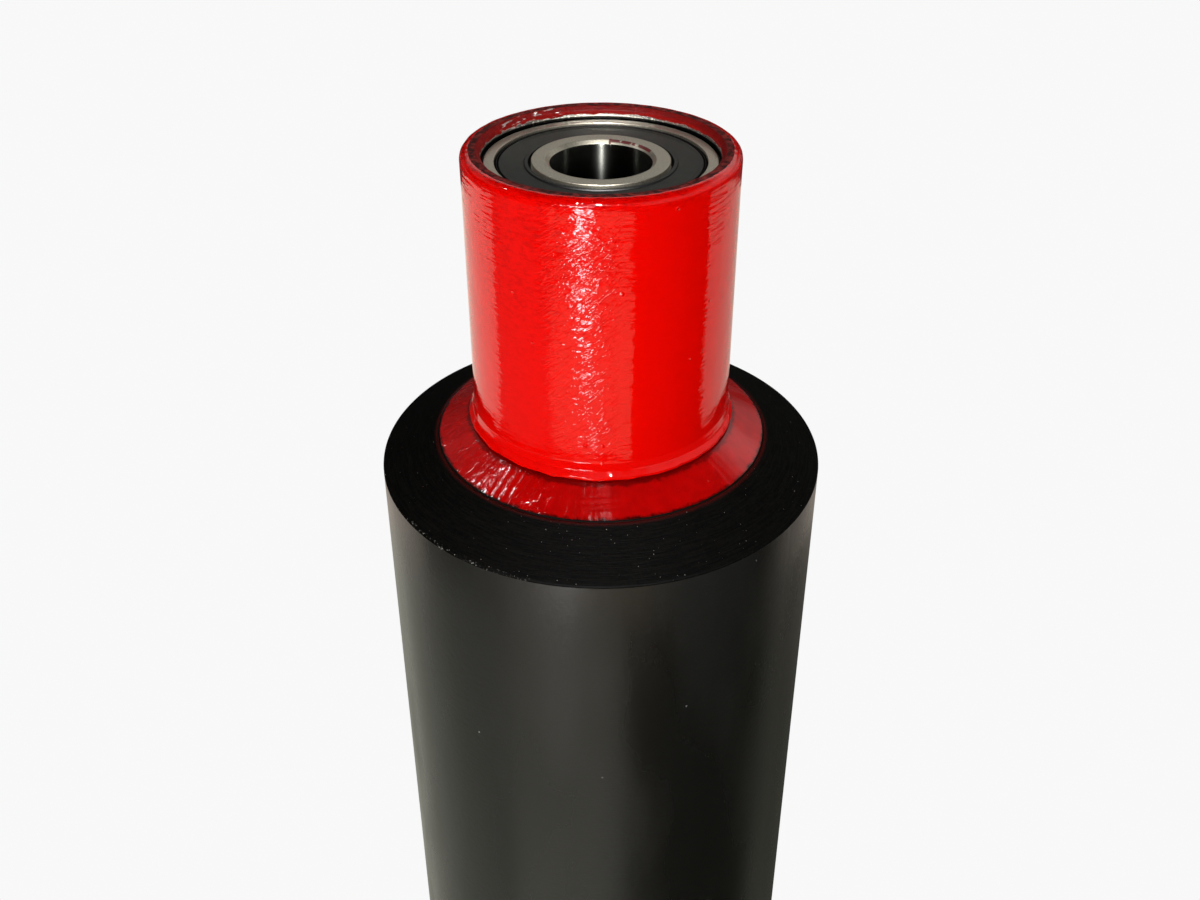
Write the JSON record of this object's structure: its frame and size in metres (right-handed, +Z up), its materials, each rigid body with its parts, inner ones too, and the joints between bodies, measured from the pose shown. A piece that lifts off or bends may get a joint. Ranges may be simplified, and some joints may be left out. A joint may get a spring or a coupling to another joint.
{
  "type": "ink form roller",
  "caption": "Rubber-covered press roller on a hollow steel core, with a sealed ball bearing in each painted neck.",
  "frame": {"origin": "centre of the lower rim, on the surface that the roller stands on", "axes": "+Z up along the roller's axis towards the pictured end; +X through the first ball of each bearing"},
  "size_m": [0.057, 0.057, 0.4234],
  "materials": {
    "red_enamel": "glossy brushed-on enamel",
    "black_rubber": "ground matte",
    "seal_rubber": "moulded satin",
    "ring_steel": "ground",
    "ball_steel": "polished",
    "cage_steel": "pressed sheet",
    "tube_steel": "drawn"
  },
  "bodies": {
    "roller": {"core_tube": "tube_steel", "rubber_cover": "black_rubber", "upper_neck_sleeve": "red_enamel", "upper_end_plug": "red_enamel", "upper_outer_ring": "ring_steel", "upper_front_seal": "seal_rubber", "upper_back_seal": "seal_rubber", "lower_neck_sleeve": "red_enamel", "lower_end_plug": "red_enamel", "lower_outer_ring": "ring_steel", "lower_front_seal": "seal_rubber", "lower_back_seal": "seal_rubber"},
    "upper_inner_ring": {"upper_inner_ring": "ring_steel"},
    "upper_ball_1": {"upper_ball_1": "ball_steel"},
    "upper_ball_2": {"upper_ball_2": "ball_steel"},
    "upper_ball_3": {"upper_ball_3": "ball_steel"},
    "upper_ball_4": {"upper_ball_4": "ball_steel"},
    "upper_ball_5": {"upper_ball_5": "ball_steel"},
    "upper_ball_6": {"upper_ball_6": "ball_steel"},
    "upper_ball_7": {"upper_ball_7": "ball_steel"},
    "upper_ball_8": {"upper_ball_8": "ball_steel"},
    "upper_cage": {"upper_front_cage_half": "cage_steel", "upper_back_cage_half": "cage_steel", "upper_cage_rivets": "cage_steel"},
    "lower_inner_ring": {"lower_inner_ring": "ring_steel"},
    "lower_ball_1": {"lower_ball_1": "ball_steel"},
    "lower_ball_2": {"lower_ball_2": "ball_steel"},
    "lower_ball_3": {"lower_ball_3": "ball_steel"},
    "lower_ball_4": {"lower_ball_4": "ball_steel"},
    "lower_ball_5": {"lower_ball_5": "ball_steel"},
    "lower_ball_6": {"lower_ball_6": "ball_steel"},
    "lower_ball_7": {"lower_ball_7": "ball_steel"},
    "lower_ball_8": {"lower_ball_8": "ball_steel"},
    "lower_cage": {"lower_front_cage_half": "cage_steel", "lower_back_cage_half": "cage_steel", "lower_cage_rivets": "cage_steel"}
  },
  "joints": [
    {"name": "upper_inner_ring_spin", "type": "hinge", "parent": "roller", "child": "upper_inner_ring", "pos_m": [0, 0, 0.4178], "axis": [0, 0, 1], "continuous": true},
    {"name": "upper_cage_spin", "type": "hinge", "parent": "roller", "child": "upper_cage", "pos_m": [0, 0, 0.4178], "axis": [0, 0, 1], "continuous": true},
    {"name": "upper_ball_1_spin", "type": "hinge", "parent": "upper_cage", "child": "upper_ball_1", "pos_m": [0.01, 0, 0.4178], "axis": [0, 0, 1], "continuous": true},
    {"name": "upper_ball_2_spin", "type": "hinge", "parent": "upper_cage", "child": "upper_ball_2", "pos_m": [0.00707, 0.00707, 0.4178], "axis": [0, 0, 1], "continuous": true},
    {"name": "upper_ball_3_spin", "type": "hinge", "parent": "upper_cage", "child": "upper_ball_3", "pos_m": [0, 0.01, 0.4178], "axis": [0, 0, 1], "continuous": true},
    {"name": "upper_ball_4_spin", "type": "hinge", "parent": "upper_cage", "child": "upper_ball_4", "pos_m": [-0.00707, 0.00707, 0.4178], "axis": [0, 0, 1], "continuous": true},
    {"name": "upper_ball_5_spin", "type": "hinge", "parent": "upper_cage", "child": "upper_ball_5", "pos_m": [-0.01, 0, 0.4178], "axis": [0, 0, 1], "continuous": true},
    {"name": "upper_ball_6_spin", "type": "hinge", "parent": "upper_cage", "child": "upper_ball_6", "pos_m": [-0.00707, -0.00707, 0.4178], "axis": [0, 0, 1], "continuous": true},
    {"name": "upper_ball_7_spin", "type": "hinge", "parent": "upper_cage", "child": "upper_ball_7", "pos_m": [0, -0.01, 0.4178], "axis": [0, 0, 1], "continuous": true},
    {"name": "upper_ball_8_spin", "type": "hinge", "parent": "upper_cage", "child": "upper_ball_8", "pos_m": [0.00707, -0.00707, 0.4178], "axis": [0, 0, 1], "continuous": true},
    {"name": "lower_inner_ring_spin", "type": "hinge", "parent": "roller", "child": "lower_inner_ring", "pos_m": [0, 0, 0.0056], "axis": [0, 0, 1], "continuous": true},
    {"name": "lower_cage_spin", "type": "hinge", "parent": "roller", "child": "lower_cage", "pos_m": [0, 0, 0.0056], "axis": [0, 0, 1], "continuous": true},
    {"name": "lower_ball_1_spin", "type": "hinge", "parent": "lower_cage", "child": "lower_ball_1", "pos_m": [0.01, 0, 0.0056], "axis": [0, 0, 1], "continuous": true},
    {"name": "lower_ball_2_spin", "type": "hinge", "parent": "lower_cage", "child": "lower_ball_2", "pos_m": [0.00707, 0.00707, 0.0056], "axis": [0, 0, 1], "continuous": true},
    {"name": "lower_ball_3_spin", "type": "hinge", "parent": "lower_cage", "child": "lower_ball_3", "pos_m": [0, 0.01, 0.0056], "axis": [0, 0, 1], "continuous": true},
    {"name": "lower_ball_4_spin", "type": "hinge", "parent": "lower_cage", "child": "lower_ball_4", "pos_m": [-0.00707, 0.00707, 0.0056], "axis": [0, 0, 1], "continuous": true},
    {"name": "lower_ball_5_spin", "type": "hinge", "parent": "lower_cage", "child": "lower_ball_5", "pos_m": [-0.01, 0, 0.0056], "axis": [0, 0, 1], "continuous": true},
    {"name": "lower_ball_6_spin", "type": "hinge", "parent": "lower_cage", "child": "lower_ball_6", "pos_m": [-0.00707, -0.00707, 0.0056], "axis": [0, 0, 1], "continuous": true},
    {"name": "lower_ball_7_spin", "type": "hinge", "parent": "lower_cage", "child": "lower_ball_7", "pos_m": [0, -0.01, 0.0056], "axis": [0, 0, 1], "continuous": true},
    {"name": "lower_ball_8_spin", "type": "hinge", "parent": "lower_cage", "child": "lower_ball_8", "pos_m": [0.00707, -0.00707, 0.0056], "axis": [0, 0, 1], "continuous": true}
  ],
  "couplings": [
    {"joint": "upper_cage_spin", "follows": "upper_inner_ring_spin", "ratio": 0.38095},
    {"joint": "upper_ball_1_spin", "follows": "upper_inner_ring_spin", "ratio": -1.9809},
    {"joint": "upper_ball_2_spin", "follows": "upper_inner_ring_spin", "ratio": -1.9809},
    {"joint": "upper_ball_3_spin", "follows": "upper_inner_ring_spin", "ratio": -1.9809},
    {"joint": "upper_ball_4_spin", "follows": "upper_inner_ring_spin", "ratio": -1.9809},
    {"joint": "upper_ball_5_spin", "follows": "upper_inner_ring_spin", "ratio": -1.9809},
    {"joint": "upper_ball_6_spin", "follows": "upper_inner_ring_spin", "ratio": -1.9809},
    {"joint": "upper_ball_7_spin", "follows": "upper_inner_ring_spin", "ratio": -1.9809},
    {"joint": "upper_ball_8_spin", "follows": "upper_inner_ring_spin", "ratio": -1.9809},
    {"joint": "lower_cage_spin", "follows": "lower_inner_ring_spin", "ratio": 0.38095},
    {"joint": "lower_ball_1_spin", "follows": "lower_inner_ring_spin", "ratio": -1.9809},
    {"joint": "lower_ball_2_spin", "follows": "lower_inner_ring_spin", "ratio": -1.9809},
    {"joint": "lower_ball_3_spin", "follows": "lower_inner_ring_spin", "ratio": -1.9809},
    {"joint": "lower_ball_4_spin", "follows": "lower_inner_ring_spin", "ratio": -1.9809},
    {"joint": "lower_ball_5_spin", "follows": "lower_inner_ring_spin", "ratio": -1.9809},
    {"joint": "lower_ball_6_spin", "follows": "lower_inner_ring_spin", "ratio": -1.9809},
    {"joint": "lower_ball_7_spin", "follows": "lower_inner_ring_spin", "ratio": -1.9809},
    {"joint": "lower_ball_8_spin", "follows": "lower_inner_ring_spin", "ratio": -1.9809}
  ]
}
